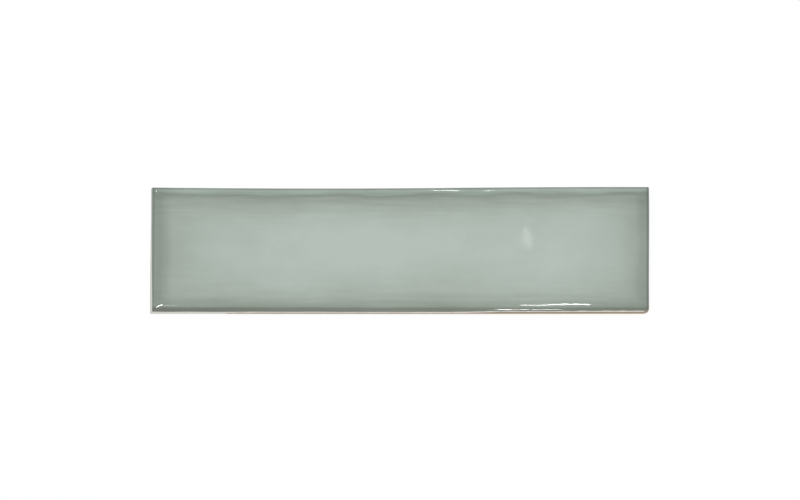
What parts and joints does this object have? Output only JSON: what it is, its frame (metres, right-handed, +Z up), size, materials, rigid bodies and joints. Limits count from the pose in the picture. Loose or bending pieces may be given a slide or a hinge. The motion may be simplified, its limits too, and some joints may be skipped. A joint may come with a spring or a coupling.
{
  "type": "glazed wall tile",
  "caption": "Long rectangular ceramic wall tile with a glossy glazed face, softly rounded wandering edges, plain walls and a keyed back.",
  "frame": {"origin": "middle of the back, on the plane of its ribs", "axes": "+X along the tile's length, +Y across it, +Z up through the glazed face; the tile lies on its back"},
  "size_m": [0.3, 0.077, 0.009],
  "materials": {
    "sage_glazed_ceramic": "gloss"
  },
  "bodies": {
    "root": {"tile": "sage_glazed_ceramic"}
  },
  "joints": []
}
